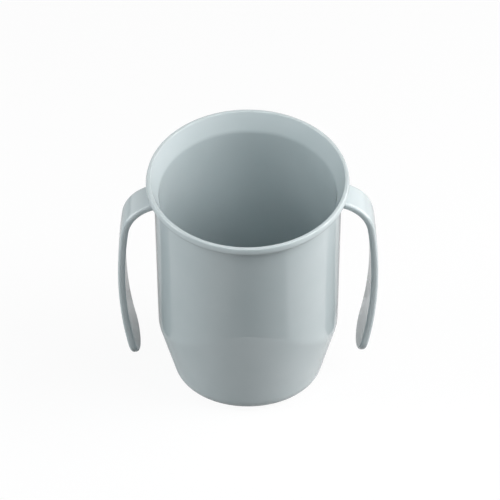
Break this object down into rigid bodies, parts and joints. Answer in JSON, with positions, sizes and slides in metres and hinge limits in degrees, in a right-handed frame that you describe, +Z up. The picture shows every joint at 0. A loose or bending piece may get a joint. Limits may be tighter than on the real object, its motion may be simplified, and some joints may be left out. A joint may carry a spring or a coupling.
{
  "type": "slanted training cup",
  "caption": "Slanted open training cup: leaning tube with a flared drinking lip on a tapered foot, and open strap handles at both sides.",
  "frame": {"origin": "middle of the flat underside of the base, on the table", "axes": "+Z up from the table, -Y towards the low side of the rim (the drinking side), X across the two handles"},
  "size_m": [0.0904, 0.0807, 0.0983],
  "materials": {
    "moulded_plastic": "glossy moulded plastic, pale blue-grey all through"
  },
  "bodies": {
    "root": {"rim_lip": "moulded_plastic", "slanted_wall": "moulded_plastic", "tapered_foot": "moulded_plastic", "base_floor": "moulded_plastic", "left_handle": "moulded_plastic", "right_handle": "moulded_plastic"}
  },
  "joints": []
}
